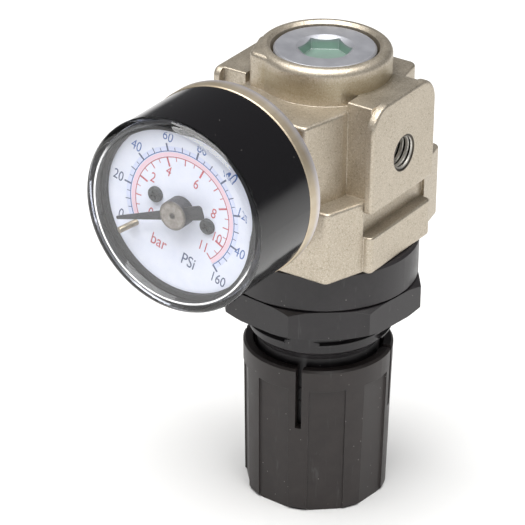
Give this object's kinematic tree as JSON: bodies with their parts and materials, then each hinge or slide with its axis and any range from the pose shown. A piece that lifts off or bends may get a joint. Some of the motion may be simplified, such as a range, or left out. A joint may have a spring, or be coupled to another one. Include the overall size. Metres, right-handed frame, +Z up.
{
  "type": "air pressure regulator",
  "caption": "Miniature panel-mount air pressure regulator: die-cast body with two threaded ports, front pressure gauge, push-lock adjusting knob and octagonal panel nut below.",
  "frame": {"origin": "on the vertical axis of the bonnet, in the panel seat: the lower face of the bonnet's flange ring, against which a panel is clamped", "axes": "+Z up through the diaphragm, the valve and the plug in the top boss; -Z down through the adjusting knob; -Y out of the gauge dial; +X out of the outlet port, -X out of the inlet port"},
  "size_m": [0.0272, 0.0491, 0.0674],
  "materials": {
    "die_cast": "satin die-cast metal with a warm champagne tint and a fine grain",
    "plug_metal": "fine-turned grey metal",
    "nitrile": "matt black rubber",
    "brass": "turned brass",
    "spring_steel": "drawn spring wire",
    "zinc_steel": "zinc plated steel",
    "black_plastic": "moulded black plastic, matt with a soft sheen",
    "knob_plastic": "moulded black plastic, matt with faint scuffs",
    "white_plastic": "moulded pale acetal",
    "case_metal": "lacquered pale gold pressed steel",
    "sleeve_black": "smooth glossy black",
    "clear_lens": "clear moulded lens",
    "dial_white": "printed satin white",
    "dial_screw_steel": "blackened steel",
    "pointer_black": "matt black paint"
  },
  "bodies": {
    "housing": {"body": "die_cast", "valve_guide_plug": "plug_metal", "plug_o_ring": "nitrile", "valve_spring": "spring_steel", "rear_gauge_plug": "zinc_steel", "slip_ring": "white_plastic", "diaphragm": "nitrile", "main_spring": "spring_steel", "bonnet": "black_plastic", "panel_nut": "black_plastic", "thrust_washer": "white_plastic", "gauge_socket": "brass", "gauge_case": "case_metal", "gauge_sleeve": "sleeve_black", "lens": "clear_lens", "lens_gasket": "nitrile", "dial": "dial_white", "dial_screws": "dial_screw_steel", "stop_pin": "brass", "bourdon_tube": "brass", "movement_back_plate": "brass", "movement_front_plate": "brass", "movement_pillars": "brass", "movement_screws": "zinc_steel", "hairspring": "brass"},
    "adjusting_screw": {"adjusting_screw": "zinc_steel"},
    "knob": {"knob": "knob_plastic"},
    "adjusting_nut": {"adjusting_nut": "brass"},
    "diaphragm_hub": {"relief_seat": "brass", "diaphragm_plate": "zinc_steel"},
    "valve": {"valve_poppet": "brass", "valve_rubber": "nitrile"},
    "pointer": {"pointer": "pointer_black", "pointer_cap": "zinc_steel", "pointer_arbor": "zinc_steel"},
    "sector": {"sector_gear": "brass", "sector_arbor": "zinc_steel"},
    "tube_tip": {"tube_tip": "brass", "link": "zinc_steel"}
  },
  "joints": [
    {"name": "knob_turn", "type": "hinge", "parent": "housing", "child": "adjusting_screw", "pos_m": [0, 0, 0], "axis": [0, 0, 1], "range_deg": [0, 1440]},
    {"name": "knob_pull", "type": "slide", "parent": "adjusting_screw", "child": "knob", "axis": [0, 0, -1], "range_m": [0, 0.002]},
    {"name": "adjusting_nut_rise", "type": "slide", "parent": "housing", "child": "adjusting_nut", "axis": [0, 0, 1], "range_m": [0, 0.004], "deforming": ["main_spring"]},
    {"name": "diaphragm_lift", "type": "slide", "parent": "housing", "child": "diaphragm_hub", "axis": [0, 0, 1], "range_m": [0, 0.0006], "stiffness_N_per_m": 400, "deforming": ["diaphragm"]},
    {"name": "valve_lift", "type": "slide", "parent": "housing", "child": "valve", "axis": [0, 0, 1], "range_m": [0, 0.0006], "deforming": ["valve_spring"]},
    {"name": "tube_tip_rise", "type": "slide", "parent": "housing", "child": "tube_tip", "axis": [0, 0, 1], "range_m": [0, 0.00106], "stiffness_N_per_m": 20, "springref_m": -0.0003, "deforming": ["bourdon_tube"]},
    {"name": "sector_swing", "type": "hinge", "parent": "housing", "child": "sector", "pos_m": [0.008, -0.0275, 0.01778], "axis": [0, 1, 0], "range_deg": [-30.75, 0]},
    {"name": "pointer_turn", "type": "hinge", "parent": "housing", "child": "pointer", "pos_m": [0, -0.03, 0.0219], "axis": [0, 1, 0], "range_deg": [0, 246]}
  ],
  "couplings": [
    {"joint": "knob_turn", "follows": "adjusting_nut_rise", "rad_per_m": 6283.2},
    {"joint": "valve_lift", "follows": "diaphragm_lift", "ratio": 1},
    {"joint": "sector_swing", "follows": "tube_tip_rise", "rad_per_m": -506.31},
    {"joint": "pointer_turn", "follows": "tube_tip_rise", "rad_per_m": 4050.5}
  ]
}
